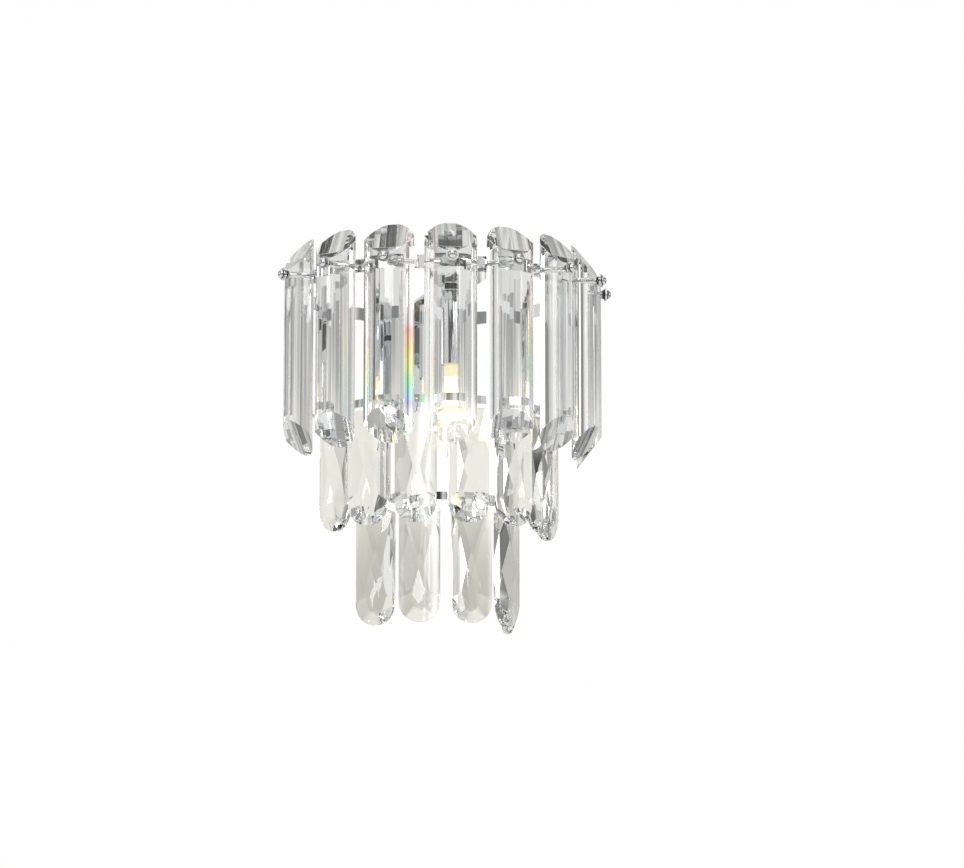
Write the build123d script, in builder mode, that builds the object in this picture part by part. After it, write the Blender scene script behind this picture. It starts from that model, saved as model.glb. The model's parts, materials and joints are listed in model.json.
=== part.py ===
from build123d import *
from math import atan, atan2, cos, hypot, radians, sin, sqrt
import os

# Millimetres. The wall is the plane y = 0, the lamp's front faces -Y and +Z is up.
# The origin lies on the wall, behind the middle of the canopy.

# Fits
stud_play = 0.05
hole_play = 0.2
face_play = 0.15
seat_play = 0.05

# Canopy and wall bracket
canopy_width = 34.0
canopy_height = 75.0
canopy_depth = 20.0
canopy_wall = 1.5
canopy_round = 3.0
bracket_side_gap = 2.5
bracket_end_gap = 1.0
bracket_thick = 2.0
wall_hole_radius = 2.5
wall_hole_spacing = 42.0
bracket_stud_radius = 2.0
bracket_stud_end = 5.0
canopy_nut_radius = 4.5
canopy_nut_length = 7.0
canopy_nut_bore = 4.5
canopy_stud_grip = 4.2
cable_hole_radius = 5.0
cable_hole_height = 9.5
grommet_flange = 1.0
grommet_bore_radius = 3.5
earth_side = 9.2
earth_radius = 1.5
earth_head_radius = 2.6
earth_head_length = 2.0
earth_slot_length = 3.9
earth_slot_width = 0.7
terminal_width = 18.0
terminal_depth = 11.0
terminal_height = 11.0
terminal_top = 2.0
terminal_screw_radius = 1.6
terminal_screw_pitch = 5.5

# Arm strap from the canopy to the front of the top ring
strap_width = 25.0
strap_thick = 2.0
strap_wall_gap = 1.0
wire_hole_radius = 5.0
wire_hole_depth = 12.0
arm_screw_side = 8.5
arm_screw_radius = 2.0
arm_screw_head_radius = 3.5
arm_screw_head_length = 2.4
arm_screw_head_round = 1.0
arm_screw_length = 12.0
arm_nut_flats = 7.0
arm_nut_thick = 3.2

# Rings
ring_wall_gap = 4.3
band_thick = 1.5
top_ring_radius = 98.7
top_band = 9.0
middle_ring_radius = 78.5
middle_band = 5.5
middle_drop_below_pins = 91.75
middle_reach_angle = 92.0
bottom_ring_radius = 53.75
bottom_band = 5.2
bottom_drop_below_pins = 155.6
bottom_reach_angle = 87.0
bottom_turn_angle = 11.0
link_slot_width = 3.0
link_slot_height = 1.5
link_slot_round = 0.6

# Long bars of the upper tier
bar_count = 8
bar_step_angle = 22.5
bar_width = 36.4
bar_edge_out = 1.7
bar_front = 9.8
bar_front_flat = 9.4
bar_front_facets = 3
bar_back = 7.0
bar_back_flat = 8.4
bar_back_facets = 4
bar_above_pin = 26.4
bar_below_pin = 126.2
bar_end_angle = 37.0

# Studs, spacers and turned nuts that hold the bars
stud_radius = 2.0
stud_grip = 5.0
stud_tail = 4.2
stud_nut_flats = 7.0
stud_nut_thick = 3.2
spacer_radius = 4.0
spacer_thick = 1.1
cap_neck_radius = 2.9
cap_rim_radius = 4.5
cap_waist_radius = 3.2
cap_waist_out = 2.1
cap_rim_start = 3.2
cap_rim_end = 4.4
cap_dome_radius = 3.3
cap_bore = 5.4

# Faceted drops of the two lower tiers
middle_drop_count = 7
middle_step_angle = 26.9
middle_drop_turn_angles = (19.0, 17.0, 0.0, 0.0, -10.0, -24.0, -38.0)
bottom_drop_count = 5
bottom_step_angle = 40.0
bottom_drop_turn_angles = (27.0, 0.0, -10.0, -8.0, 0.0)
drop_width = 28.4
drop_length = 79.5
drop_thick = 17.0
drop_edge_thick = 4.4
drop_end_thick = 7.0
drop_top_round = 3.0
drop_bottom_round = 13.5
drop_fan_tilt_angle = 21.0
drop_fan_edge = 1.2
drop_fan_angles = (30.0, 60.0, 90.0, 120.0, 150.0)
drop_hole_below_top = 3.4
middle_top_below_pins = 98.2
bottom_top_below_pins = 163.6

# Wire links
link_radius = 0.6
link_side_gap = 0.5
link_corner = 2.0

# Hanger strips between the rings
upper_hanger_angles = (-89.0, -40.2, 40.2, 89.0)
upper_hanger_width = 6.0
lower_hanger_angles = (-47.5, 31.5, 65.0)
lower_hanger_width = 5.0
lower_hanger_step = 10.2
hanger_thick = 1.5
hanger_overlap = 4.0
hanger_foot_past_ring = 2.2

# Lampholders and lamps
front_lamp_out = 35.0
rear_lamp_out = -11.0
nipple_radius = 4.9
nipple_bore_radius = 3.5
nipple_above_strap = 6.5
lamp_nut_flats = 14.0
lamp_nut_thick = 3.0
lamp_washer_radius = 8.0
lamp_washer_thick = 1.9
cup_radius = 9.5
cup_wall = 1.0
cup_top_thick = 1.5
cup_length = 53.0
socket_recess = 1.0
socket_length = 22.5
socket_side_play = 0.1
pin_slot_width = 3.2
pin_slot_thick = 1.8
pin_slot_depth = 8.0
pin_spacing = 9.0
pin_width = 2.4
pin_thick = 0.9
pin_length = 6.5
bulb_seat_gap = 0.4
bulb_base_radius = 7.7
bulb_base_length = 10.0
bulb_cover_radius = 8.3
bulb_cover_length = 43.0
bulb_cover_wall = 1.0
bulb_core_radius = 4.5
bulb_core_length = 34.0
bulb_core_groove = 0.6
bulb_core_sides = 8
lead_radius = 1.0
lead_side = 3.6
lead_bore_side = 2.0
lead_bend = 2.5
lead_rise = 8.0

# Sizes and levels that follow from the ones above
bracket_width = canopy_width - 2 * canopy_wall - 2 * bracket_side_gap
bracket_height = canopy_height - 2 * canopy_wall - 2 * bracket_end_gap
bracket_stud_spacing = bracket_height - 2 * bracket_stud_end
axis_depth = top_ring_radius + ring_wall_gap
ring_inner = top_ring_radius - band_thick
bar_inner = top_ring_radius + seat_play + spacer_thick + face_play
bar_radius = bar_inner + bar_back
bar_outer = bar_radius + bar_front
cap_start = bar_outer + face_play
link_half_width = drop_end_thick / 2 + link_corner + link_side_gap
strap_bottom = canopy_height / 2
strap_top = strap_bottom + strap_thick
pin_level = strap_top + top_band / 2
middle_level = pin_level - middle_drop_below_pins
bottom_level = pin_level - bottom_drop_below_pins
cup_top = strap_bottom - lamp_washer_thick
cup_bottom = cup_top - cup_length
socket_bottom = cup_bottom + socket_recess
socket_top = socket_bottom + socket_length
bulb_top = socket_bottom - bulb_seat_gap
cover_top = bulb_top - bulb_base_length

os.makedirs("parts", exist_ok=True)


# Angles of evenly spread pieces round the lamp, about a middle angle
def spread(count, step, middle):
    return [middle + step * (n - (count - 1) / 2) for n in range(count)]


bar_angles = spread(bar_count, bar_step_angle, 0)
middle_angles = spread(middle_drop_count, middle_step_angle, 0)
bottom_angles = spread(bottom_drop_count, bottom_step_angle, bottom_turn_angle)


# Directions round the lamp: angle 0 is the front and angles grow towards +X
def outward(angle):
    return Vector(sin(radians(angle)), -cos(radians(angle)), 0)


def sideways(angle):
    return Vector(cos(radians(angle)), sin(radians(angle)), 0)


def on_circle(angle, radius, height):
    return Vector(0, -axis_depth, height) + outward(angle) * radius


# A plane that faces outward, with its x to the right and its y up; a loosely hung piece stands turned in its place
def facing_plane(angle, radius, height, turn=0):
    return Plane(
        origin=on_circle(angle, radius, height), x_dir=sideways(angle + turn), z_dir=outward(angle + turn)
    )


# An upright plane through a point on a circle, or through the lamp's axis, with its x outward and its y up
def side_plane(angle, height, radius=0, turn=0):
    return Plane(
        origin=on_circle(angle, radius, height), x_dir=outward(angle + turn), z_dir=sideways(angle + turn) * -1
    )


def flat_plane(x, y, height):
    return Plane(origin=(x, y, height), x_dir=(1, 0, 0), z_dir=(0, 0, 1))


# A plane on the wall side, with its x to the right, its y up and its normal out of the wall
def wall_plane(depth):
    return Plane(origin=(0, -depth, 0), x_dir=(1, 0, 0), z_dir=(0, -1, 0))


# A cutting plane, given by a point and a direction in a base plane's own axes
def tilted_plane(base, point, direction):
    start = base.from_local_coords(Vector(*point))
    end = base.from_local_coords(Vector(*point) + Vector(*direction))
    return Plane(origin=start, z_dir=end - start)


def save(builder, name):
    builder.part.label = name
    export_step(builder.part, f"parts/{name}.step")


# Wall bracket, its studs and the canopy
with BuildPart() as wall_bracket:
    with BuildSketch(wall_plane(0)):
        RectangleRounded(bracket_width, bracket_height, canopy_round)
        with GridLocations(0, wall_hole_spacing, 1, 2):
            Circle(wall_hole_radius, mode=Mode.SUBTRACT)
        with GridLocations(0, bracket_stud_spacing, 1, 2):
            Circle(bracket_stud_radius + stud_play, mode=Mode.SUBTRACT)
        with Locations((0, cable_hole_height)):
            Circle(cable_hole_radius + seat_play, mode=Mode.SUBTRACT)
        with Locations((earth_side, cable_hole_height)):
            Circle(earth_radius + stud_play, mode=Mode.SUBTRACT)
    extrude(amount=bracket_thick)
save(wall_bracket, "wall_bracket")

with BuildPart() as bracket_studs:
    with BuildSketch(wall_plane(0)):
        with GridLocations(0, bracket_stud_spacing, 1, 2):
            Circle(bracket_stud_radius)
    extrude(amount=canopy_depth + canopy_stud_grip)
save(bracket_studs, "bracket_studs")

with BuildPart() as canopy:
    with BuildSketch(wall_plane(0)):
        RectangleRounded(canopy_width, canopy_height, canopy_round)
    extrude(amount=canopy_depth)
    front_edges = canopy.edges().group_by(Axis.Y)[0]
    fillet(front_edges, radius=canopy_wall)
    with BuildSketch(wall_plane(0)):
        RectangleRounded(canopy_width - 2 * canopy_wall, canopy_height - 2 * canopy_wall, canopy_wall)
    extrude(amount=canopy_depth - canopy_wall, mode=Mode.SUBTRACT)
    with BuildSketch(wall_plane(0)):
        with GridLocations(0, bracket_stud_spacing, 1, 2):
            Circle(bracket_stud_radius + hole_play)
    extrude(amount=canopy_depth, mode=Mode.SUBTRACT)
    with BuildSketch(flat_plane(0, -wire_hole_depth, canopy_height / 2 - 2 * canopy_wall)):
        Circle(wire_hole_radius)
        with GridLocations(2 * arm_screw_side, 0, 2, 1):
            Circle(arm_screw_radius + hole_play)
    extrude(amount=3 * canopy_wall, mode=Mode.SUBTRACT)
save(canopy, "canopy")

with BuildPart() as canopy_nuts:
    for side in (-1, 1):
        nut_axis = Vector(0, 0, side * bracket_stud_spacing / 2)
        nut_plane = Plane(origin=nut_axis, x_dir=(0, -1, 0), z_dir=(-1, 0, 0))
        dome_start = canopy_depth + canopy_nut_length - canopy_nut_radius
        with BuildSketch(nut_plane):
            with BuildLine():
                Polyline(
                    (canopy_depth, bracket_stud_radius + stud_play),
                    (canopy_depth, canopy_nut_radius),
                    (dome_start, canopy_nut_radius),
                )
                ThreePointArc(
                    (dome_start, canopy_nut_radius),
                    (dome_start + canopy_nut_radius * sqrt(0.5), canopy_nut_radius * sqrt(0.5)),
                    (dome_start + canopy_nut_radius, 0),
                )
                Polyline(
                    (dome_start + canopy_nut_radius, 0),
                    (canopy_depth + canopy_nut_bore, 0),
                    (canopy_depth + canopy_nut_bore, bracket_stud_radius + stud_play),
                    (canopy_depth, bracket_stud_radius + stud_play),
                )
            make_face()
        revolve(axis=Axis(nut_axis, (0, -1, 0)))
save(canopy_nuts, "canopy_nuts")

with BuildPart() as cable_grommet:
    grommet_centre = Vector(0, 0, cable_hole_height)
    with BuildSketch(Plane(origin=grommet_centre, x_dir=(0, -1, 0), z_dir=(-1, 0, 0))):
        with BuildLine():
            Polyline(
                (0, grommet_bore_radius),
                (0, cable_hole_radius),
                (bracket_thick, cable_hole_radius),
                (bracket_thick, cable_hole_radius + grommet_flange),
                (2 * bracket_thick, cable_hole_radius + grommet_flange / 2),
                (2 * bracket_thick, grommet_bore_radius),
                close=True,
            )
        make_face()
    revolve(axis=Axis(grommet_centre, (0, -1, 0)))
save(cable_grommet, "cable_grommet")

with BuildPart() as earth_screw:
    with BuildSketch(wall_plane(0)):
        with Locations((earth_side, cable_hole_height)):
            Circle(earth_radius)
    extrude(amount=bracket_thick)
    with BuildSketch(wall_plane(bracket_thick)):
        with Locations((earth_side, cable_hole_height)):
            Circle(earth_head_radius)
    extrude(amount=earth_head_length)
    with BuildSketch(wall_plane(bracket_thick + earth_head_length / 2)):
        with Locations((earth_side, cable_hole_height)):
            Rectangle(earth_slot_length, earth_slot_width)
    extrude(amount=earth_head_length, mode=Mode.SUBTRACT)
save(earth_screw, "earth_screw")

with BuildPart() as terminal_block:
    with BuildSketch(wall_plane(bracket_thick)):
        with Locations((0, terminal_top - terminal_height / 2)):
            Rectangle(terminal_width, terminal_height)
    extrude(amount=terminal_depth)
    with BuildSketch(wall_plane(bracket_thick + terminal_depth / 2)):
        with Locations((0, terminal_top - terminal_height / 2)):
            with GridLocations(terminal_screw_pitch, 0, 3, 1):
                Circle(terminal_screw_radius)
    extrude(amount=terminal_depth, mode=Mode.SUBTRACT)
save(terminal_block, "terminal_block")

# Arm strap with its two screws and nuts
with BuildPart() as arm_strap:
    strap_reach = axis_depth + top_ring_radius
    with BuildSketch(flat_plane(0, 0, strap_bottom)):
        with Locations((0, -axis_depth)):
            Circle(top_ring_radius)
        with Locations((0, -strap_reach / 2)):
            Rectangle(strap_width, strap_reach, mode=Mode.INTERSECT)
        with Locations((0, -(axis_depth + strap_wall_gap) / 2)):
            Rectangle(strap_width, axis_depth - strap_wall_gap)
        with Locations((0, -wire_hole_depth)):
            Circle(wire_hole_radius, mode=Mode.SUBTRACT)
            with GridLocations(2 * arm_screw_side, 0, 2, 1):
                Circle(arm_screw_radius + hole_play, mode=Mode.SUBTRACT)
        for out in (front_lamp_out, rear_lamp_out):
            with Locations((0, -axis_depth - out)):
                Circle(nipple_radius + hole_play, mode=Mode.SUBTRACT)
    extrude(amount=strap_thick)
save(arm_strap, "arm_strap")

with BuildPart() as arm_screws:
    with BuildSketch(flat_plane(0, -wire_hole_depth, strap_top - arm_screw_length)):
        with GridLocations(2 * arm_screw_side, 0, 2, 1):
            Circle(arm_screw_radius)
    extrude(amount=arm_screw_length)
    with BuildSketch(flat_plane(0, -wire_hole_depth, strap_top)):
        with GridLocations(2 * arm_screw_side, 0, 2, 1):
            Circle(arm_screw_head_radius)
    extrude(amount=arm_screw_head_length)
    fillet(arm_screws.edges().group_by(Axis.Z)[-1], radius=arm_screw_head_round)
save(arm_screws, "arm_screws")

with BuildPart() as arm_nuts:
    with BuildSketch(flat_plane(0, -wire_hole_depth, canopy_height / 2 - canopy_wall - arm_nut_thick)):
        with GridLocations(2 * arm_screw_side, 0, 2, 1):
            RegularPolygon(arm_nut_flats / 2, 6, major_radius=False, rotation=30)
            Circle(arm_screw_radius + stud_play, mode=Mode.SUBTRACT)
    extrude(amount=arm_nut_thick)
save(arm_nuts, "arm_nuts")

# Top ring and the fasteners of the bars
with BuildPart() as top_ring:
    with BuildSketch(flat_plane(0, -axis_depth, pin_level - top_band / 2)):
        Circle(top_ring_radius)
        Circle(top_ring_radius - band_thick, mode=Mode.SUBTRACT)
    extrude(amount=top_band)
    for angle in bar_angles:
        with BuildSketch(facing_plane(angle, top_ring_radius - 2 * band_thick, pin_level)):
            Circle(stud_radius + hole_play)
        extrude(amount=3 * band_thick, mode=Mode.SUBTRACT)
save(top_ring, "top_ring")

stud_nut_seat = sqrt(ring_inner**2 - (stud_nut_flats / sqrt(3)) ** 2) - seat_play

with BuildPart() as bar_studs:
    for angle in bar_angles:
        with BuildSketch(facing_plane(angle, ring_inner - stud_tail, pin_level)):
            Circle(stud_radius)
        extrude(amount=cap_start + stud_grip - ring_inner + stud_tail)
save(bar_studs, "bar_studs")

with BuildPart() as stud_nuts:
    for angle in bar_angles:
        with BuildSketch(facing_plane(angle, stud_nut_seat - stud_nut_thick, pin_level)):
            RegularPolygon(stud_nut_flats / 2, 6, major_radius=False)
            Circle(stud_radius + stud_play, mode=Mode.SUBTRACT)
        extrude(amount=stud_nut_thick)
save(stud_nuts, "stud_nuts")

with BuildPart() as bar_spacers:
    for angle in bar_angles:
        with BuildSketch(facing_plane(angle, top_ring_radius + seat_play, pin_level)):
            Circle(spacer_radius)
            Circle(stud_radius + stud_play, mode=Mode.SUBTRACT)
        extrude(amount=spacer_thick)
save(bar_spacers, "bar_spacers")

with BuildPart() as bar_cap_nuts:
    for angle in bar_angles:
        bore_end = cap_start + cap_bore
        dome_base = cap_start + cap_rim_end
        dome_tip = dome_base + cap_dome_radius
        dome_middle = (dome_base + cap_dome_radius * sqrt(0.5), cap_dome_radius * sqrt(0.5))
        with BuildSketch(side_plane(angle, pin_level)):
            with BuildLine():
                Line((cap_start, stud_radius + stud_play), (cap_start, cap_neck_radius))
                ThreePointArc(
                    (cap_start, cap_neck_radius),
                    (cap_start + cap_waist_out, cap_waist_radius),
                    (cap_start + cap_rim_start, cap_rim_radius),
                )
                Polyline(
                    (cap_start + cap_rim_start, cap_rim_radius),
                    (dome_base, cap_rim_radius),
                    (dome_base, cap_dome_radius),
                )
                ThreePointArc((dome_base, cap_dome_radius), dome_middle, (dome_tip, 0))
                Polyline(
                    (dome_tip, 0),
                    (bore_end, 0),
                    (bore_end, stud_radius + stud_play),
                    (cap_start, stud_radius + stud_play),
                )
            make_face()
        revolve(axis=Axis(on_circle(angle, 0, pin_level), outward(angle)))
save(bar_cap_nuts, "bar_cap_nuts")


# Facet corners on an arc, from the end of a bar's middle flat to just before its side edge
def facet_corners(flat, depth, edge, count):
    half = bar_width / 2
    centre = (half**2 + edge**2 - (flat / 2) ** 2 - depth**2) / (2 * (edge - depth))
    radius = hypot(half, edge - centre)
    first = atan2(flat / 2, depth - centre)
    last = atan2(half, edge - centre)
    ways = [first + (last - first) * number / count for number in range(count)]
    return [(radius * sin(way), centre + radius * cos(way)) for way in ways]


# One long bar: a lens section of narrow facets, with both ends cut aslant to the front
def make_bar(angle, name):
    base = Plane(origin=on_circle(angle, bar_radius, pin_level), x_dir=sideways(angle) * -1, z_dir=(0, 0, 1))
    front = facet_corners(bar_front_flat, bar_front, bar_edge_out, bar_front_facets)
    back = facet_corners(bar_back_flat, bar_back, -bar_edge_out, bar_back_facets)
    right_front = [(bar_width / 2, bar_edge_out), *reversed(front)]
    left_front = [(-x, y) for x, y in reversed(right_front)]
    right_back = [(x, -y) for x, y in back]
    left_back = [(-x, y) for x, y in reversed(right_back)]
    rise = sin(radians(bar_end_angle))
    lean = cos(radians(bar_end_angle))
    with BuildPart() as bar:
        with BuildSketch(base.offset(-bar_below_pin)):
            with BuildLine():
                Polyline(*right_front, *left_front, *left_back, *right_back, close=True)
            make_face()
        extrude(amount=bar_below_pin + bar_above_pin)
        split(bisect_by=tilted_plane(base, (0, -bar_back, bar_above_pin), (0, lean, rise)), keep=Keep.BOTTOM)
        split(bisect_by=tilted_plane(base, (0, -bar_back, -bar_below_pin), (0, lean, -rise)), keep=Keep.BOTTOM)
        with BuildSketch(facing_plane(angle, bar_radius, pin_level)):
            Circle(stud_radius + stud_play)
        extrude(amount=bar_front + bar_back, both=True, mode=Mode.SUBTRACT)
    save(bar, name)


for number, angle in enumerate(bar_angles, 1):
    make_bar(angle, f"bar_{number}")


# A flat band bent to an open arc, with a slot for each link, which rests on the slot's lower edge
def make_arc(name, radius, band, level, first, reach, slot_angles):
    slot_level = level + link_slot_height / 2 - link_radius - stud_play
    with BuildPart() as arc:
        with BuildSketch(side_plane(first, level)):
            with Locations((radius - band_thick / 2, 0)):
                Rectangle(band_thick, band)
        revolve(axis=Axis((0, -axis_depth, 0), (0, 0, 1)), revolution_arc=reach)
        for angle in slot_angles:
            with BuildSketch(facing_plane(angle, radius - 2 * band_thick, slot_level)):
                RectangleRounded(link_slot_width, link_slot_height, link_slot_round)
            extrude(amount=3 * band_thick, mode=Mode.SUBTRACT)
    save(arc, name)


make_arc(
    "middle_ring",
    middle_ring_radius,
    middle_band,
    middle_level,
    -middle_reach_angle,
    2 * middle_reach_angle,
    middle_angles,
)
make_arc(
    "bottom_ring",
    bottom_ring_radius,
    bottom_band,
    bottom_level,
    bottom_turn_angle - bottom_reach_angle,
    2 * bottom_reach_angle,
    bottom_angles,
)

# Hanger strips: they run down from one ring's inner face and carry the next ring on their feet
upper_seat = sqrt(ring_inner**2 - (upper_hanger_width / 2) ** 2) - seat_play
middle_foot = middle_level - middle_band / 2
middle_inner = middle_ring_radius - band_thick
with BuildPart() as upper_hangers:
    for angle in upper_hanger_angles:
        with BuildSketch(side_plane(angle, 0)):
            with BuildLine():
                Polyline(
                    (upper_seat, pin_level + hanger_overlap),
                    (upper_seat, middle_foot - hanger_thick),
                    (middle_inner - hanger_foot_past_ring, middle_foot - hanger_thick),
                    (middle_inner - hanger_foot_past_ring, middle_foot),
                    (upper_seat - hanger_thick, middle_foot),
                    (upper_seat - hanger_thick, pin_level + hanger_overlap),
                    close=True,
                )
            make_face()
        extrude(amount=upper_hanger_width / 2, both=True)
save(upper_hangers, "upper_hangers")

lower_seat = sqrt(middle_inner**2 - (lower_hanger_width / 2) ** 2) - seat_play
lower_leg = lower_seat - lower_hanger_step
bottom_foot = bottom_level - bottom_band / 2
bottom_inner = bottom_ring_radius - band_thick
with BuildPart() as lower_hangers:
    for angle in lower_hanger_angles:
        with BuildSketch(side_plane(angle, 0)):
            with BuildLine():
                Polyline(
                    (lower_seat, middle_level + middle_band / 2),
                    (lower_seat, middle_foot),
                    (lower_leg, middle_foot),
                    (lower_leg, bottom_foot - hanger_thick),
                    (bottom_inner - hanger_foot_past_ring, bottom_foot - hanger_thick),
                    (bottom_inner - hanger_foot_past_ring, bottom_foot),
                    (lower_leg - hanger_thick, bottom_foot),
                    (lower_leg - hanger_thick, middle_foot + hanger_thick),
                    (lower_seat - hanger_thick, middle_foot + hanger_thick),
                    (lower_seat - hanger_thick, middle_level + middle_band / 2),
                    close=True,
                )
            make_face()
        extrude(amount=lower_hanger_width / 2, both=True)
save(lower_hangers, "lower_hangers")


# Closed wire links: the upper run passes through the ring and the lower run through the drop
def make_links(name, angles, turns, radius, top, bottom):
    with BuildPart() as links:
        for angle, turn in zip(angles, turns):
            with BuildLine(side_plane(angle, 0, radius, turn)) as path:
                FilletPolyline(
                    (link_half_width, top),
                    (link_half_width, bottom),
                    (-link_half_width, bottom),
                    (-link_half_width, top),
                    radius=link_corner,
                    close=True,
                )
            loop = path.wires()[0]
            with BuildSketch(Plane(origin=loop @ 0, z_dir=loop % 0)):
                Circle(link_radius)
            sweep(path=loop)
    save(links, name)


middle_drop_radius = middle_ring_radius - band_thick / 2
bottom_drop_radius = bottom_ring_radius - band_thick / 2
middle_drop_top = pin_level - middle_top_below_pins
bottom_drop_top = pin_level - bottom_top_below_pins
make_links(
    "middle_links",
    middle_angles,
    middle_drop_turn_angles,
    middle_drop_radius,
    middle_level,
    middle_drop_top - drop_hole_below_top,
)
make_links(
    "bottom_links",
    bottom_angles,
    bottom_drop_turn_angles,
    bottom_drop_radius,
    bottom_level,
    bottom_drop_top - drop_hole_below_top,
)


# One faceted drop: a crossed four-plane cut on each face, with a fan of small facets at its rounded lower end
def make_drop(angle, turn, radius, top, name):
    base = facing_plane(angle, radius, top - drop_length / 2, turn)
    side_tilt = atan((drop_thick - drop_edge_thick) / drop_width)
    end_tilt = atan((drop_thick - drop_end_thick) / drop_length)
    fan_tilt = radians(drop_fan_tilt_angle)
    fan_centre = drop_bottom_round - drop_length / 2
    with BuildPart() as drop:
        with BuildSketch(base) as outline:
            Rectangle(drop_width, drop_length)
            fillet(outline.vertices().group_by(Axis.Y)[0], radius=drop_bottom_round)
            fillet(outline.vertices().group_by(Axis.Y)[-1], radius=drop_top_round)
        extrude(amount=drop_thick / 2, both=True)
        for face in (-1, 1):
            middle = (0, 0, face * drop_thick / 2)
            for side in (-1, 1):
                side_way = (side * sin(side_tilt), 0, face * cos(side_tilt))
                end_way = (0, side * sin(end_tilt), face * cos(end_tilt))
                split(bisect_by=tilted_plane(base, middle, side_way), keep=Keep.BOTTOM)
                split(bisect_by=tilted_plane(base, middle, end_way), keep=Keep.BOTTOM)
            for fan_angle in drop_fan_angles:
                across = cos(radians(fan_angle))
                down = -sin(radians(fan_angle))
                rim = (drop_bottom_round * across, fan_centre + drop_bottom_round * down, face * drop_fan_edge)
                fan_way = (across * sin(fan_tilt), down * sin(fan_tilt), face * cos(fan_tilt))
                split(bisect_by=tilted_plane(base, rim, fan_way), keep=Keep.BOTTOM)
        with BuildSketch(facing_plane(angle, radius, top - drop_hole_below_top, turn)):
            Circle(link_radius + stud_play)
        extrude(amount=drop_thick, both=True, mode=Mode.SUBTRACT)
    save(drop, name)


for number, (angle, turn) in enumerate(zip(middle_angles, middle_drop_turn_angles), 1):
    make_drop(angle, turn, middle_drop_radius, middle_drop_top, f"middle_drop_{number}")
for number, (angle, turn) in enumerate(zip(bottom_angles, bottom_drop_turn_angles), 1):
    make_drop(angle, turn, bottom_drop_radius, bottom_drop_top, f"bottom_drop_{number}")

# Lampholders on the strap
lamp_depths = [axis_depth + out for out in (front_lamp_out, rear_lamp_out)]

with BuildPart() as lamp_nipples:
    for depth in lamp_depths:
        with BuildSketch(flat_plane(0, -depth, socket_top)):
            Circle(nipple_radius)
            Circle(nipple_bore_radius, mode=Mode.SUBTRACT)
        extrude(amount=strap_top + nipple_above_strap - socket_top)
save(lamp_nipples, "lamp_nipples")

with BuildPart() as lamp_nuts:
    for depth in lamp_depths:
        for level in (strap_top, cup_top - cup_top_thick - lamp_nut_thick):
            with BuildSketch(flat_plane(0, -depth, level)):
                RegularPolygon(lamp_nut_flats / 2, 6, major_radius=False)
                Circle(nipple_radius + stud_play, mode=Mode.SUBTRACT)
            extrude(amount=lamp_nut_thick)
save(lamp_nuts, "lamp_nuts")

with BuildPart() as lamp_washers:
    for depth in lamp_depths:
        with BuildSketch(flat_plane(0, -depth, cup_top)):
            Circle(lamp_washer_radius)
            Circle(nipple_radius + hole_play, mode=Mode.SUBTRACT)
        extrude(amount=lamp_washer_thick)
save(lamp_washers, "lamp_washers")


# Parts that both lamps have: the cup, the ceramic socket and the lamp with its two pins
def make_lamp(place, depth):
    with BuildPart() as cup:
        with BuildSketch(flat_plane(0, -depth, cup_bottom)):
            Circle(cup_radius)
        extrude(amount=cup_length)
        fillet(cup.edges().group_by(Axis.Z)[-1], radius=cup_wall)
        with BuildSketch(flat_plane(0, -depth, cup_bottom)):
            Circle(cup_radius - cup_wall)
        extrude(amount=cup_length - cup_top_thick, mode=Mode.SUBTRACT)
        with BuildSketch(flat_plane(0, -depth, cup_bottom)):
            Circle(nipple_radius + hole_play)
        extrude(amount=cup_length, mode=Mode.SUBTRACT)
    save(cup, f"lamp_cup_{place}")

    with BuildPart() as socket:
        with BuildSketch(flat_plane(0, -depth, socket_bottom)):
            Circle(cup_radius - cup_wall - socket_side_play)
        extrude(amount=socket_length)
        with BuildSketch(flat_plane(0, -depth, socket_bottom)):
            with GridLocations(pin_spacing, 0, 2, 1):
                Rectangle(pin_slot_width, pin_slot_thick)
        extrude(amount=pin_slot_depth, mode=Mode.SUBTRACT)
    save(socket, f"lamp_socket_{place}")

    with BuildPart() as pins:
        with BuildSketch(flat_plane(0, -depth, bulb_top)):
            with GridLocations(pin_spacing, 0, 2, 1):
                Rectangle(pin_width, pin_thick)
        extrude(amount=pin_length)
    save(pins, f"bulb_pins_{place}")

    with BuildPart() as base:
        with BuildSketch(flat_plane(0, -depth, cover_top)):
            Circle(bulb_base_radius)
        extrude(amount=bulb_base_length)
        fillet(base.edges().group_by(Axis.Z)[-1], radius=bulb_cover_wall)
    save(base, f"bulb_base_{place}")

    with BuildPart() as core:
        with BuildSketch(flat_plane(0, -depth, cover_top - bulb_core_length)):
            RegularPolygon(bulb_core_radius, bulb_core_sides)
            with PolarLocations(bulb_core_radius, bulb_core_sides):
                Circle(bulb_core_groove, mode=Mode.SUBTRACT)
        extrude(amount=bulb_core_length)
    save(core, f"bulb_core_{place}")

    with BuildPart() as cover:
        round_start = cover_top - bulb_cover_length + bulb_cover_radius
        inner_radius = bulb_cover_radius - bulb_cover_wall
        half = sqrt(0.5)
        with BuildSketch(Plane(origin=(0, -depth, 0), x_dir=(1, 0, 0), z_dir=(0, -1, 0))):
            with BuildLine():
                Line((inner_radius, cover_top), (bulb_cover_radius, cover_top))
                Line((bulb_cover_radius, cover_top), (bulb_cover_radius, round_start))
                ThreePointArc(
                    (bulb_cover_radius, round_start),
                    (bulb_cover_radius * half, round_start - bulb_cover_radius * half),
                    (0, round_start - bulb_cover_radius),
                )
                Line((0, round_start - bulb_cover_radius), (0, round_start - inner_radius))
                ThreePointArc(
                    (0, round_start - inner_radius),
                    (inner_radius * half, round_start - inner_radius * half),
                    (inner_radius, round_start),
                )
                Line((inner_radius, round_start), (inner_radius, cover_top))
            make_face()
        revolve(axis=Axis((0, -depth, 0), (0, 0, 1)))
    save(cover, f"bulb_cover_{place}")


make_lamp("front", lamp_depths[0])
make_lamp("rear", lamp_depths[1])

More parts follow.
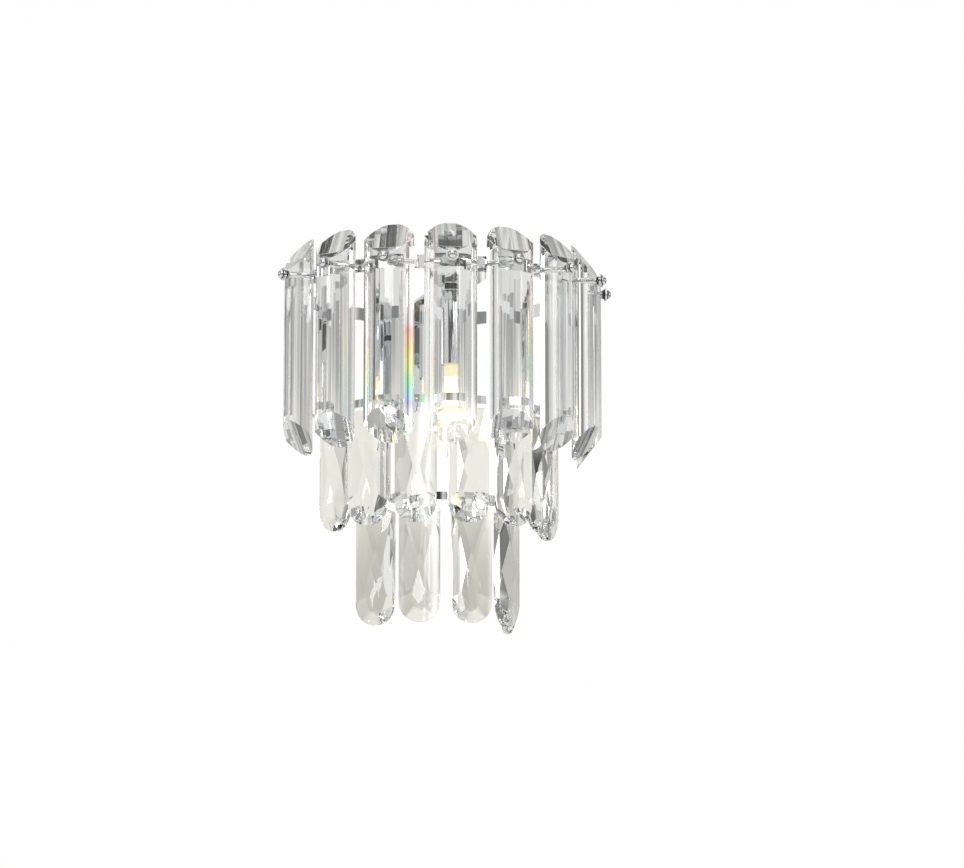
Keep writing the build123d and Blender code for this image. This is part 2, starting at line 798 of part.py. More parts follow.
# Sleeved leads from the terminal block, along the strap, to each lampholder
run_level = strap_top + lead_radius + face_play
hop_level = run_level + lead_rise
near_lamp = lamp_nut_flats / 2 + lead_rise
with BuildPart() as lamp_leads:
    front_depth, rear_depth = lamp_depths
    start = [(lead_side, wire_hole_depth, terminal_top), (lead_side, wire_hole_depth, run_level)]
    rear_path = start + [
        (lead_side, rear_depth - near_lamp - lead_bend, run_level),
        (lead_bore_side, rear_depth - near_lamp / 2, hop_level),
        (lead_bore_side, rear_depth, hop_level),
        (lead_bore_side, rear_depth, socket_top),
    ]
    front_path = start + [
        (lead_side, rear_depth - near_lamp - lead_bend, run_level),
        (lead_side, rear_depth - near_lamp / 2, hop_level),
        (lead_side, rear_depth + near_lamp / 2, hop_level),
        (lead_side, rear_depth + near_lamp + lead_bend, run_level),
        (lead_side, front_depth - near_lamp - lead_bend, run_level),
        (lead_bore_side, front_depth - near_lamp / 2, hop_level),
        (lead_bore_side, front_depth, hop_level),
        (lead_bore_side, front_depth, socket_top),
    ]
    for side, points in ((-1, rear_path), (1, front_path)):
        with BuildLine() as run:
            FilletPolyline(*[(side * x, -y, z) for x, y, z in points], radius=lead_bend)
        with BuildSketch(flat_plane(side * lead_side, -wire_hole_depth, terminal_top)):
            Circle(lead_radius)
        sweep(path=run.wires()[0])
save(lamp_leads, "lamp_leads")
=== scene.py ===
import json
import math

import bmesh
import bpy
from mathutils import Matrix, Vector


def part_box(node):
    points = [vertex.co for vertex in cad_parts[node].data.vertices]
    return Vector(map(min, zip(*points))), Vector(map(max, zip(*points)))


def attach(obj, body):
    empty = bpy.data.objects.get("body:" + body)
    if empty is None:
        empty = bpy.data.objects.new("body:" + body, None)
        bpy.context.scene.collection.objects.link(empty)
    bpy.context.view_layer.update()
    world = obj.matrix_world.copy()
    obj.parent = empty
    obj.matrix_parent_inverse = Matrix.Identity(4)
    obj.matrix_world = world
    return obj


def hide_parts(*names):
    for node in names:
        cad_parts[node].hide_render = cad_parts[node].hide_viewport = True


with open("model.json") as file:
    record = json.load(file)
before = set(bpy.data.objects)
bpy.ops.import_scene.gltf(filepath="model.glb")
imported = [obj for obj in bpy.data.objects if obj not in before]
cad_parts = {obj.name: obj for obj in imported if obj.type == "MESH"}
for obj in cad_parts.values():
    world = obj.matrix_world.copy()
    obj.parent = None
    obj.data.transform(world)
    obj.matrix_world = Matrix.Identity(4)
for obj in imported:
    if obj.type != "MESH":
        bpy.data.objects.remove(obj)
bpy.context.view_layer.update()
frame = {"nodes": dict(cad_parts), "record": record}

nodes = frame["nodes"]
bodyOf = {node: body for body, names in frame["record"]["behaviour"]["bodies"].items() for node in names}
slotOf = {entry["node"]: entry["material_slot"] for entry in frame["record"]["subparts"]}
lampAxis = (0, -0.103, 0)  # middle line of the rings
black = (0, 0, 0, 1)
white = (1, 1, 1, 1)


# Short helpers for shader trees: a socket's value is a number, a colour or another node's output
def feed(tree, socket, value):
    if isinstance(value, bpy.types.NodeSocket):
        tree.links.new(value, socket)
    else:
        socket.default_value = value


def addNode(tree, kind, sockets=None, **settings):
    node = tree.nodes.new(kind)
    for key, value in settings.items():
        setattr(node, key, value)
    for title, value in (sockets or {}).items():
        feed(tree, node.inputs[title], value)
    return node


def addMath(tree, operation, *values):
    return addNode(tree, "ShaderNodeMath", dict(enumerate(values)), operation=operation).outputs[0]


def addVectorMath(tree, operation, *values):
    return addNode(tree, "ShaderNodeVectorMath", dict(enumerate(values)), operation=operation).outputs


def addRange(tree, value, start, end, low=0, high=1, soft=False):
    sockets = {"Value": value, "From Min": start, "From Max": end, "To Min": low, "To Max": high}
    shape = "SMOOTHSTEP" if soft else "LINEAR"
    return addNode(tree, "ShaderNodeMapRange", sockets, interpolation_type=shape).outputs["Result"]


def addMix(tree, factor, first, second, kind="RGBA", blend="MIX"):
    sockets = {"Factor": factor, "A": first, "B": second}
    return addNode(tree, "ShaderNodeMix", sockets, data_type=kind, blend_type=blend).outputs["Result"]


def addShaderMix(tree, factor, first, second):
    return addNode(tree, "ShaderNodeMixShader", {0: factor, 1: first, 2: second}).outputs[0]


def addRamp(tree, value, stops):
    ramp = addNode(tree, "ShaderNodeValToRGB", {"Fac": value})
    points = ramp.color_ramp.elements
    points[0].position = stops[0][0]
    points[1].position = stops[-1][0]
    for spot, colour in stops[1:-1]:
        points.new(spot)
    for point, (spot, colour) in zip(points, stops):
        point.color = solid(colour)
    return ramp.outputs["Color"]


def addNoise(tree, place, scale, detail):
    return addNode(tree, "ShaderNodeTexNoise", {"Vector": place, "Scale": scale, "Detail": detail}).outputs["Fac"]


def objectPlace(tree):
    return addNode(tree, "ShaderNodeTexCoord").outputs["Object"]


def splitPlace(tree, place):
    return addNode(tree, "ShaderNodeSeparateXYZ", {"Vector": place}).outputs


def solid(colour):
    return (*colour, 1)


def grey(level):
    return (level, level, level)


def newGroup(name, inputs, outputs):
    group = bpy.data.node_groups.new(name, "ShaderNodeTree")
    for title, kind, value in inputs:
        socket = group.interface.new_socket(name=title, in_out="INPUT", socket_type="NodeSocket" + kind)
        socket.default_value = value
    for title, kind in outputs:
        group.interface.new_socket(name=title, in_out="OUTPUT", socket_type="NodeSocket" + kind)
    return group, addNode(group, "NodeGroupInput").outputs, addNode(group, "NodeGroupOutput").inputs


def newTree(owner):
    owner.use_nodes = True
    owner.node_tree.nodes.clear()
    return owner.node_tree


def newMaterial(name, sockets):
    material = bpy.data.materials.new(name)
    tree = newTree(material)
    shader = addNode(tree, "ShaderNodeBsdfPrincipled", sockets)
    addNode(tree, "ShaderNodeOutputMaterial", {"Surface": shader.outputs[0]})
    return material, tree, shader.inputs


def addPiece(name, bm, material):
    mesh = bpy.data.meshes.new(name)
    bm.to_mesh(mesh)
    bm.free()
    mesh.materials.append(material)
    piece = bpy.data.objects.new(name, mesh)
    bpy.context.collection.objects.link(piece)
    return piece


def breakEdges(bm, edges, width, segments):
    bmesh.ops.bevel(bm, geom=edges, offset=width, offset_type="OFFSET", affect="EDGES", segments=segments,
                    profile=0.5, material=-1, clamp_overlap=True)


# Handling marks: two colours, a roughness range and a fine height, all on Object coordinates
marksLook = {"patchDetail": 4, "patchRange": (0.35, 0.7), "speckFiner": 9, "speckDetail": 2, "speckDepth": 0.0002}


def makeMarksGroup():
    group, given, leave = newGroup(
        "handlingMarks",
        [
            ("Colour", "Color", (0.8, 0.8, 0.8, 1)),
            ("Shade", "Color", (0.6, 0.6, 0.6, 1)),
            ("Scale", "Float", 60.0),
            ("Smooth", "Float", 0.05),
            ("Rough", "Float", 0.15),
        ],
        [("Colour", "Color"), ("Roughness", "Float"), ("Height", "Float")],
    )
    place = objectPlace(group)
    patches = addNoise(group, place, given["Scale"], marksLook["patchDetail"])
    finer = addMath(group, "MULTIPLY", given["Scale"], marksLook["speckFiner"])
    specks = addNoise(group, place, finer, marksLook["speckDetail"])
    spread = addRange(group, patches, *marksLook["patchRange"], given["Smooth"], given["Rough"])
    feed(group, leave["Colour"], addMix(group, patches, given["Colour"], given["Shade"]))
    feed(group, leave["Roughness"], spread)
    feed(group, leave["Height"], specks)
    return group


marksGroup = makeMarksGroup()


def addMarks(tree, shader, look):
    sockets = {"Colour": solid(look["colour"]), "Shade": solid(look["shade"]), "Scale": look["scale"],
               "Smooth": look["smooth"], "Rough": look["rough"]}
    marks = addNode(tree, "ShaderNodeGroup", sockets, node_tree=marksGroup).outputs
    bump = addNode(tree, "ShaderNodeBump", {"Strength": look["bump"], "Distance": marksLook["speckDepth"],
                                            "Height": marks["Height"]})
    feed(tree, shader["Base Color"], marks["Colour"])
    feed(tree, shader["Roughness"], marks["Roughness"])
    feed(tree, shader["Normal"], bump.outputs["Normal"])
    return marks["Colour"]


def newGlowing(name, look):
    material, tree, shader = newMaterial(name, {"Emission Strength": look["glow"]})
    feed(tree, shader["Emission Color"], addMarks(tree, shader, look))
    return material


# Finishes of the metal, plastic, ceramic and rubber parts, and of the lit parts of the lamps
finishes = {
    "polished_chrome": {"colour": (0.88, 0.89, 0.90), "shade": (0.78, 0.79, 0.81), "scale": 38, "smooth": 0.02,
                        "rough": 0.06, "bump": 0.02, "metal": 1},
    "link_wire": {"colour": (0.74, 0.75, 0.77), "shade": (0.60, 0.61, 0.63), "scale": 160, "smooth": 0.08,
                  "rough": 0.2, "bump": 0.05, "metal": 1},
    "zinc_steel": {"colour": (0.62, 0.63, 0.64), "shade": (0.48, 0.49, 0.52), "scale": 220, "smooth": 0.24,
                   "rough": 0.42, "bump": 0.12, "metal": 1},
    "black_nut": {"colour": (0.045, 0.045, 0.05), "shade": (0.085, 0.082, 0.08), "scale": 260, "smooth": 0.32,
                  "rough": 0.5, "bump": 0.15, "metal": 0},
    "spacer_plastic": {"colour": (0.85, 0.86, 0.86), "shade": (0.78, 0.80, 0.81), "scale": 150, "smooth": 0.2,
                       "rough": 0.32, "bump": 0.05, "metal": 0},
    "socket_ceramic": {"colour": (0.86, 0.84, 0.78), "shade": (0.76, 0.73, 0.66), "scale": 320, "smooth": 0.5,
                       "rough": 0.7, "bump": 0.2, "metal": 0},
    "terminal_plastic": {"colour": (0.88, 0.88, 0.86), "shade": (0.80, 0.80, 0.77), "scale": 110, "smooth": 0.22,
                         "rough": 0.36, "bump": 0.08, "metal": 0},
    "grommet_rubber": {"colour": (0.045, 0.045, 0.045), "shade": (0.075, 0.073, 0.07), "scale": 280, "smooth": 0.55,
                       "rough": 0.75, "bump": 0.2, "metal": 0},
    "earth_brass": {"colour": (0.78, 0.60, 0.28), "shade": (0.60, 0.43, 0.18), "scale": 240, "smooth": 0.2,
                    "rough": 0.38, "bump": 0.1, "metal": 1},
    "lead_sleeve": {"colour": (0.86, 0.86, 0.84), "shade": (0.76, 0.76, 0.73), "scale": 300, "smooth": 0.45,
                    "rough": 0.62, "bump": 0.12, "metal": 0},
}
glowFinishes = {
    # bulb bases: white plastic painted golden and glowing, painted warm lamp light
    "bulb_base": {"colour": (0.97, 0.89, 0.62), "shade": (0.92, 0.81, 0.48), "scale": 90, "smooth": 0.14,
                  "rough": 0.24, "bump": 0.03, "glow": 0.42},
    "bulb_glow": {"colour": (1.0, 0.93, 0.74), "shade": (1.0, 0.89, 0.64), "scale": 120, "smooth": 0.4,
                  "rough": 0.6, "bump": 0.05, "glow": 3.0},
}
materials = {}
for slotName, look in finishes.items():
    material, tree, shader = newMaterial(slotName, {"Metallic": look["metal"]})
    addMarks(tree, shader, look)
    materials[slotName] = material
for slotName, look in glowFinishes.items():
    materials[slotName] = newGlowing(slotName, look)

# Turned nuts: bright dome and rim, with painted shade dark in the groove round the dome and under the flare
nutLook = {"colour": (0.99, 0.99, 0.99), "shade": (0.95, 0.95, 0.96), "scale": 60, "smooth": 0.02, "rough": 0.05,
           "bump": 0.02,
           "paintedShadeTones": [(0.0, 1.0), (2.0, 1.0), (2.3, 0.03), (3.02, 0.03), (3.12, 1.0), (4.45, 1.0), (4.6, 0.05),
                     (6.4, 0.1), (7.2, 0.7), (8.0, 0.7)]}  # level by mm back from the dome's tip


def makeNutMaterial():
    material, tree, shader = newMaterial("turned_nut", {"Metallic": 1})
    colour = addMarks(tree, shader, nutLook)
    points = nodes["bar_cap_nuts"].data.vertices
    tip = max(math.hypot(point.co.x - lampAxis[0], point.co.y - lampAxis[1]) for point in points)
    length = nutLook["paintedShadeTones"][-1][0]
    aside = addVectorMath(tree, "SUBTRACT", objectPlace(tree), lampAxis)["Vector"]
    level = addVectorMath(tree, "MULTIPLY", aside, (1, 1, 0))["Vector"]
    outward = addVectorMath(tree, "LENGTH", level)["Value"]
    back = addRange(tree, outward, tip, tip - length / 1000)
    # painted shade: the base colour is darkened in the groove round the dome and under the flare
    paintedShadeBands = addRamp(tree, back, [(spot / length, grey(tone)) for spot, tone in nutLook["paintedShadeTones"]])
    feed(tree, shader["Base Color"], addMix(tree, 1, colour, paintedShadeBands, blend="MULTIPLY"))
    return material


materials["turned_nut"] = makeNutMaterial()
print("finishes made:", len(materials))

# Polishing waves and thin dust on cut glass
polishLook = {"waveDetail": 1, "dustScale": 420, "dustDetail": 3, "dustRange": (0.62, 0.8)}


def makePolishGroup():
    group, given, leave = newGroup(
        "polishWaves",
        [("Wave Scale", "Float", 25.0), ("Dust", "Float", 0.03)],
        [("Roughness", "Float"), ("Height", "Float")],
    )
    place = objectPlace(group)
    waves = addNoise(group, place, given["Wave Scale"], polishLook["waveDetail"])
    dust = addNoise(group, place, polishLook["dustScale"], polishLook["dustDetail"])
    feed(group, leave["Roughness"], addRange(group, dust, *polishLook["dustRange"], 0, given["Dust"]))
    feed(group, leave["Height"], waves)
    return group


polishGroup = makePolishGroup()


def addPolish(tree, shader, look):
    sockets = {"Wave Scale": look["waveScale"], "Dust": look["dust"]}
    polish = addNode(tree, "ShaderNodeGroup", sockets, node_tree=polishGroup).outputs
    feed(tree, shader["Roughness"], polish["Roughness"])
    return polish["Height"]


# Spectrum flash: painted rainbow light, tinting and glowing along one bar's bevel, in that bar's own turned
# coordinates
rainbow = [(0.0, (0.9, 0.8, 0.8)), (0.1, (1.0, 0.42, 0.28)), (0.3, (1.0, 0.76, 0.16)), (0.5, (0.90, 1.0, 0.24)),
           (0.66, (0.36, 1.0, 0.45)), (0.82, (0.36, 0.80, 1.0)), (0.93, (0.66, 0.50, 1.0)), (1.0, (1, 1, 1))]


def makeFlashGroup():
    group, given, leave = newGroup(
        "spectrumFlash",
        [
            ("Colour", "Color", white),
            ("Axis", "Vector", (0, 0, 0)),
            ("Turn", "Vector", (0, 0, 0)),
            ("Across", "Float", 0.0),
            ("Half Width", "Float", 0.002),
            ("Top", "Float", 0.0),
            ("Bottom", "Float", -0.05),
            ("Amount", "Float", 1.0),
            ("Glow", "Color", black),
        ],
        [("Colour", "Color"), ("Glow", "Color")],
    )
    sockets = {"Vector": objectPlace(group), "Location": given["Axis"], "Rotation": given["Turn"]}
    turned = addNode(group, "ShaderNodeMapping", sockets, vector_type="TEXTURE").outputs["Vector"]
    parts = splitPlace(group, turned)
    offset = addMath(group, "ABSOLUTE", addMath(group, "SUBTRACT", parts["X"], given["Across"]))
    strip = addRange(group, offset, 0, given["Half Width"], 1, 0, soft=True)
    along = addRange(group, parts["Z"], given["Top"], given["Bottom"])
    colours = addRamp(group, along, rainbow)
    front = addMath(group, "LESS_THAN", parts["Y"], 0)  # the front half of the ring only
    weight = addMath(group, "MULTIPLY", addMath(group, "MULTIPLY", strip, front), given["Amount"])
    for title in ("Colour", "Glow"):
        feed(group, leave[title], addMix(group, weight, given[title], colours))
    return group


flashGroup = makeFlashGroup()

# Cut glass, with a painted glow of the front lamp's light in the cut end of the bar before it, and painted rainbow
# light from the spectrum flashes
crystalLook = {"colour": (0.985, 0.988, 0.985), "ior": 1.54, "waveScale": 30, "dust": 0.02, "wave": 0.03,
               "waveDepth": 0.0005, "paintedGlowStrength": 0.22}
# painted rainbow light on chosen bevels of the bars
flashes = [
    {"angle": -33.75, "across": 0.0148, "halfWidth": 0.0046, "top": -0.001, "bottom": -0.062, "amount": 1.0},
    {"angle": 11.25, "across": 0.0125, "halfWidth": 0.0022, "top": 0.03, "bottom": -0.058, "amount": 0.45},
    {"angle": -56.25, "across": 0.0125, "halfWidth": 0.002, "top": 0.02, "bottom": -0.07, "amount": 0.35},
    {"angle": -11.25, "across": -0.0128, "halfWidth": 0.0016, "top": -0.02, "bottom": -0.07, "amount": 0.4},
]
paintedGlowLook = {"bar": "bar_4", "rise": 0.013, "full": 0.01, "reach": 0.028, "tone": (0.72, 0.69, 0.56)}


def makeCrystalMaterial():
    material, tree, shader = newMaterial("crystal", {"IOR": crystalLook["ior"], "Transmission Weight": 1,
                                                     "Emission Strength": crystalLook["paintedGlowStrength"]})
    colour, glow = solid(crystalLook["colour"]), black
    for values in flashes:
        sockets = {"Colour": colour, "Axis": lampAxis, "Turn": (0, 0, math.radians(values["angle"])),
                   "Across": values["across"], "Half Width": values["halfWidth"], "Top": values["top"],
                   "Bottom": values["bottom"], "Amount": values["amount"], "Glow": glow}
        flash = addNode(tree, "ShaderNodeGroup", sockets, node_tree=flashGroup).outputs
        colour, glow = flash["Colour"], flash["Glow"]
    # painted glow: the front lamp's light painted as emission round a spot just above the bar's cut end
    low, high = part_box(paintedGlowLook["bar"])
    paintedGlowSpot = ((low.x + high.x) / 2, (low.y + high.y) / 2, low.z + paintedGlowLook["rise"])
    away = addVectorMath(tree, "DISTANCE", objectPlace(tree), paintedGlowSpot)["Value"]
    paintedGlowMask = addRange(tree, away, paintedGlowLook["reach"], paintedGlowLook["full"], soft=True)
    feed(tree, shader["Base Color"], colour)
    feed(tree, shader["Emission Color"], addMix(tree, paintedGlowMask, glow, solid(paintedGlowLook["tone"])))
    bump = addNode(tree, "ShaderNodeBump", {"Strength": crystalLook["wave"], "Distance": crystalLook["waveDepth"],
                                            "Height": addPolish(tree, shader, crystalLook)})
    feed(tree, shader["Normal"], bump.outputs["Normal"])
    return material


# Clear covers of the lamps, hazy with light below their bases
coverLook = {"colour": (1.0, 0.985, 0.94), "ior": 1.46, "waveScale": 60, "dust": 0.06, "strength": 0.13,
             "glow": (1.0, 0.92, 0.70), "top": -0.022, "full": -0.034}


def makeCoverMaterial():
    material, tree, shader = newMaterial("bulb_cover", {"Base Color": solid(coverLook["colour"]),
                                                        "IOR": coverLook["ior"], "Transmission Weight": 1,
                                                        "Emission Strength": coverLook["strength"]})
    height = splitPlace(tree, objectPlace(tree))["Z"]
    haze = addRange(tree, height, coverLook["top"], coverLook["full"], soft=True)
    feed(tree, shader["Emission Color"], addMix(tree, haze, black, solid(coverLook["glow"])))
    addPolish(tree, shader, coverLook)
    return material


materials["crystal"] = makeCrystalMaterial()
materials["bulb_cover"] = makeCoverMaterial()
finishOf = {**slotOf, "bar_cap_nuts": "turned_nut"}
for name, piece in nodes.items():
    piece.data.materials.clear()
    piece.data.materials.append(materials[finishOf[name]])
print("materials on", len(nodes), "nodes")

# Cut crystals: the solids' facets with finely broken edges
crystalEdges = {"width": 0.0002, "segments": 2, "sharpAngle": 9, "smallFace": 6e-6, "merge": 1e-6, "flatAngle": 0.5,
                "smoothAngle": 8}


def cutCrystal(name):
    bm = bmesh.new()
    bm.from_mesh(nodes[name].data)
    bmesh.ops.remove_doubles(bm, verts=bm.verts, dist=crystalEdges["merge"])
    bmesh.ops.dissolve_limit(bm, angle_limit=math.radians(crystalEdges["flatAngle"]), verts=bm.verts, edges=bm.edges)
    sharp = math.radians(crystalEdges["sharpAngle"])
    edges = [
        edge for edge in bm.edges
        if len(edge.link_faces) == 2 and edge.calc_face_angle() > sharp
        and min(face.calc_area() for face in edge.link_faces) > crystalEdges["smallFace"]
    ]
    breakEdges(bm, edges, crystalEdges["width"], crystalEdges["segments"])
    piece = addPiece(name + "_cut", bm, materials["crystal"])
    piece.data.polygons.foreach_set("use_smooth", [True] * len(piece.data.polygons))
    piece.data.set_sharp_from_angle(angle=math.radians(crystalEdges["smoothAngle"]))
    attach(piece, bodyOf[name])
    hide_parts(name)
    return piece


crystals = [cutCrystal(name) for name in sorted(nodes) if slotOf[name] == "crystal"]
print("crystals cut:", len(crystals))

# Light chips on the lamps' emitter sticks
chipLook = {"width": 0.0022, "height": 0.0026, "depth": 0.0005, "rows": 8, "sides": 8, "edge": 0.0002,
            "spareRow": 0.5, "firstRow": 0.75, "firstSide": 0.5,
            "colour": (1.0, 0.84, 0.42), "shade": (1.0, 0.78, 0.34), "scale": 400, "smooth": 0.3, "rough": 0.5,
            "bump": 0.1, "glow": 1.7}
chipMaterial = newGlowing("lightChip", chipLook)


def addChips(place):
    low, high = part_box("bulb_core_" + place)
    middle = (low + high) / 2
    flat = (high.x - low.x) / 2 * math.cos(math.pi / chipLook["sides"])
    pitch = (high.z - low.z) / (chipLook["rows"] + chipLook["spareRow"])
    size = Matrix.Diagonal((chipLook["depth"] * 2, chipLook["width"], chipLook["height"], 1))
    bm = bmesh.new()
    for side in range(chipLook["sides"]):
        turn = Matrix.Rotation(2 * math.pi * (side + chipLook["firstSide"]) / chipLook["sides"], 4, "Z")
        for row in range(chipLook["rows"]):
            rise = low.z + pitch * (row + chipLook["firstRow"])
            spot = Matrix.Translation((middle.x, middle.y, rise)) @ turn @ Matrix.Translation((flat, 0, 0))
            made = bmesh.ops.create_cube(bm, size=1, matrix=spot @ size)
            edges = {edge for vert in made["verts"] for edge in vert.link_edges}
            breakEdges(bm, list(edges), chipLook["edge"], 1)
    piece = addPiece("light_chips_" + place, bm, chipMaterial)
    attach(piece, "bulb_" + place)


addChips("front")
addChips("rear")
print("light chips added")


# Camera at the photograph's angle, from the left and from below
photoView = {"spot": (-0.7367, -2.648, -0.5266), "aim": (0.03333, -0.103, -0.05744), "lens": 142.17, "sensor": 36}


def addAimed(thing, spot, aim):
    thing.location = spot
    thing.rotation_euler = (Vector(aim) - Vector(spot)).to_track_quat("-Z", "Y").to_euler()
    bpy.context.collection.objects.link(thing)


cameraData = bpy.data.cameras.new("photoCamera")
cameraData.lens = photoView["lens"]
cameraData.sensor_width = photoView["sensor"]
camera = bpy.data.objects.new("photoCamera", cameraData)
addAimed(camera, photoView["spot"], photoView["aim"])
bpy.context.scene.camera = camera

# Studio: a grey room with two tall soft boxes, one over the camera and darker corners; the camera sees plain white
studio = {
    "ambient": 0.75,
    "tint": (1.0, 1.0, 0.98),
    # levels by degrees round from the front, right side positive
    "round": [(-180, 0.86), (-150, 0.86), (-136, 0.28), (-122, 0.28), (-112, 0.82), (-101, 0.86), (-98, 0.25),
              (-95, 0.86), (-80, 0.78), (-72, 0.40), (-50, 0.27), (-38, 0.70), (-24, 0.78), (-20, 0.05), (-11, 0.05),
              (-6, 0.74), (8, 0.80), (22, 0.74), (32, 0.36), (42, 0.28), (54, 0.28), (60, 0.92), (67, 0.92),
              (70, 0.25), (73, 0.92), (82, 0.92), (90, 0.25), (104, 0.30), (112, 0.78), (136, 0.20), (152, 0.86),
              (180, 0.86)],
    "boxRound": [(-180, 0.0), (-56, 0.0), (-50, 1.0), (14, 1.0), (20, 0.0), (180, 0.0)],
    # levels by degrees of height
    "scale": [(-90, 0.2), (-30, 0.12), (-11, 0.12), (-5, 0.8), (4, 1.0), (16, 1.0), (26, 0.5), (90, 0.4)],
    "top": [(-90, 0.0), (50, 0.0), (57, 0.85), (90, 0.9)],
    "boxHeight": [(-90, 0.0), (17, 0.0), (20, 0.98), (48, 0.98), (52, 0.0), (90, 0.0)],
}


def seenRays(tree):
    rays = addNode(tree, "ShaderNodeLightPath").outputs
    return rays["Is Camera Ray"], addMath(tree, "MAXIMUM", rays["Is Glossy Ray"], rays["Is Transmission Ray"])


def makeStudio():
    world = bpy.data.worlds.new("studio")
    bpy.context.scene.world = world
    tree = newTree(world)
    parts = splitPlace(tree, addNode(tree, "ShaderNodeTexCoord").outputs["Generated"])
    compass = addMath(tree, "ARCTAN2", parts["X"], addMath(tree, "MULTIPLY", parts["Y"], -1))
    turn = addRange(tree, compass, -math.pi, math.pi)
    rise = addRange(tree, addMath(tree, "ARCSINE", parts["Z"]), -math.pi / 2, math.pi / 2)

    def tone(title, along):
        half = studio[title][-1][0]
        return addRamp(tree, along, [((angle + half) / (2 * half), grey(level)) for angle, level in studio[title]])

    room = addMath(tree, "MULTIPLY", tone("round", turn), tone("scale", rise))
    lit = addMath(tree, "MAXIMUM", room, tone("top", rise))
    softBox = addMath(tree, "MULTIPLY", tone("boxRound", turn), tone("boxHeight", rise))
    level = addMath(tree, "MAXIMUM", lit, softBox)
    cameraRay, mirrorRay = seenRays(tree)
    ambient = addNode(tree, "ShaderNodeBackground", {"Color": white, "Strength": studio["ambient"]}).outputs[0]
    seen = addNode(tree, "ShaderNodeBackground", {"Color": solid(studio["tint"]), "Strength": level}).outputs[0]
    plain = addNode(tree, "ShaderNodeBackground", {"Color": white}).outputs[0]
    around = addShaderMix(tree, mirrorRay, ambient, seen)
    addNode(tree, "ShaderNodeOutputWorld", {"Surface": addShaderMix(tree, cameraRay, around, plain)})


makeStudio()


def addCard(name, width, height, tilt, spot, material):
    bm = bmesh.new()
    bmesh.ops.create_grid(bm, x_segments=1, y_segments=1, size=0.5)
    bmesh.ops.scale(bm, verts=bm.verts, vec=(width, height, 1))
    bmesh.ops.rotate(bm, verts=bm.verts, cent=(0, 0, 0), matrix=Matrix.Rotation(tilt, 3, "X"))
    bmesh.ops.translate(bm, verts=bm.verts, vec=spot)
    return addPiece(name, bm, material)


# Wall that only the glass and the metal show: pale with a stepped edge at the top, cool with upright streaks
# under it, painted lamp light in cream beside the lamps, warm grey below, darker to the right
wallLook = {"width": 0.42, "height": 0.62, "spot": (0, 0.004, -0.05), "middle": (0.01, 0, -0.055), "squeeze": 0.55,
            "low": (0.55, 0.54, 0.48), "high": (0.54, 0.54, 0.535), "change": (-0.05, 0.0),
            "cream": (0.87, 0.86, 0.78), "paintedLightReach": (0.03, 0.1), "right": (0.06, 0.2), "rightLevel": 0.62,
            "streakScale": (170, 1, 2.5), "streakDetail": 3, "streakRange": (0.42, 0.62), "streakLevel": 0.58,
            "steps": 60, "stepHeight": (0.05, 0.085), "paleLevel": 1.42}


def makeWallMaterial():
    material = bpy.data.materials.new("wallCard")
    tree = newTree(material)
    place = objectPlace(tree)
    parts = splitPlace(tree, place)
    rise = addRange(tree, parts["Z"], *wallLook["change"], soft=True)
    wallTone = addMix(tree, rise, solid(wallLook["low"]), solid(wallLook["high"]))
    sockets = {"Vector": place, "Location": wallLook["middle"], "Scale": (1 / wallLook["squeeze"], 1, 1)}
    centred = addNode(tree, "ShaderNodeMapping", sockets, vector_type="TEXTURE").outputs["Vector"]
    away = addVectorMath(tree, "LENGTH", centred)["Value"]
    # painted light: a cream pool of lamp light on the wall round the lamps
    paintedLightFall = addRange(tree, away, *wallLook["paintedLightReach"], soft=True)
    tint = addMix(tree, paintedLightFall, solid(wallLook["cream"]), wallTone)
    stretched = addNode(tree, "ShaderNodeMapping", {"Vector": place, "Scale": wallLook["streakScale"]})
    streaks = addNoise(tree, stretched.outputs["Vector"], 1, wallLook["streakDetail"])
    streakLevel = wallLook["streakLevel"]
    streakTone = addRange(tree, streaks, *wallLook["streakRange"], streakLevel, 2 - streakLevel)
    column = addMath(tree, "FLOOR", addMath(tree, "MULTIPLY", parts["X"], wallLook["steps"]))
    chance = addNode(tree, "ShaderNodeTexWhiteNoise", {"W": column}, noise_dimensions="1D")
    edge = addRange(tree, chance.outputs["Value"], 0, 1, *wallLook["stepHeight"])
    above = addMath(tree, "GREATER_THAN", parts["Z"], edge)
    paleTop = addMix(tree, above, streakTone, wallLook["paleLevel"], kind="FLOAT")
    upper = addMix(tree, rise, 1, paleTop, kind="FLOAT")
    turnDark = addRange(tree, parts["X"], *wallLook["right"], 1, wallLook["rightLevel"])
    level = addMath(tree, "MULTIPLY", turnDark, upper)
    shine = addNode(tree, "ShaderNodeEmission", {"Color": tint, "Strength": level})
    addNode(tree, "ShaderNodeOutputMaterial", {"Surface": shine.outputs[0]})
    return material


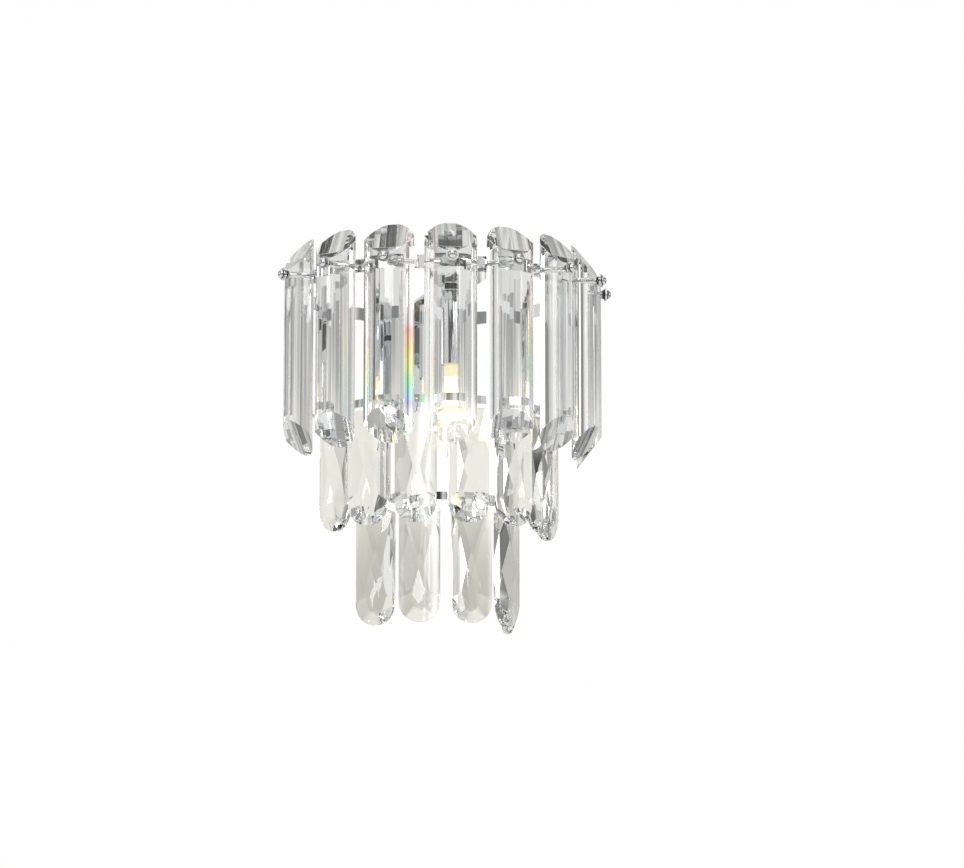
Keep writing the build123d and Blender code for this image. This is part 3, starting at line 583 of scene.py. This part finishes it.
wallCard = addCard("wallCard", wallLook["width"], wallLook["height"], math.pi / 2, wallLook["spot"],
                   makeWallMaterial())
wallCard.visible_camera = False
wallCard.visible_diffuse = False
wallCard.visible_shadow = False

# Plain pale floor well below the lamp, clear from underneath
floorLook = {"level": -1.75, "size": 8.0, "colour": (0.86, 0.86, 0.85), "mirrored": 0.7}


def makeFloorMaterial():
    material = bpy.data.materials.new("floor")
    tree = newTree(material)
    cameraRay, mirrorRay = seenRays(tree)
    matt = addNode(tree, "ShaderNodeBsdfDiffuse", {"Color": solid(floorLook["colour"])}).outputs[0]
    mirrorTone = addNode(tree, "ShaderNodeEmission", {"Strength": floorLook["mirrored"]}).outputs[0]
    plain = addNode(tree, "ShaderNodeEmission").outputs[0]
    underside = addNode(tree, "ShaderNodeNewGeometry").outputs["Backfacing"]
    clear = addNode(tree, "ShaderNodeBsdfTransparent").outputs[0]
    above = addShaderMix(tree, cameraRay, addShaderMix(tree, mirrorRay, matt, mirrorTone), plain)
    addNode(tree, "ShaderNodeOutputMaterial", {"Surface": addShaderMix(tree, underside, above, clear)})
    return material


floor = addCard("floor", floorLook["size"], floorLook["size"], 0, (0, 0, floorLook["level"]), makeFloorMaterial())

# Soft area lights
lightAim = (0, -0.1, -0.06)
lights = [
    {"name": "keyLight", "spot": (-1.2, -1.6, 0.9), "size": 1.0, "power": 18, "mirrored": False},
    {"name": "fillLight", "spot": (1.4, -1.3, 0.3), "size": 1.2, "power": 10, "mirrored": False},
    {"name": "glintLight", "spot": (-0.9, -1.5, 1.05), "size": 0.25, "power": 1.6, "mirrored": True},
]
for values in lights:
    lamp = bpy.data.lights.new(values["name"], "AREA")
    lamp.size = values["size"]
    lamp.energy = values["power"]
    light = bpy.data.objects.new(values["name"], lamp)
    light.visible_glossy = values["mirrored"]
    addAimed(light, values["spot"], lightAim)

scene = bpy.context.scene
scene.view_settings.view_transform = "Standard"
bounces = {"max_bounces": 28, "transmission_bounces": 24, "glossy_bounces": 12}  # deep enough for glass behind glass
for kind, count in bounces.items():
    setattr(scene.cycles, kind, count)
print("studio set")
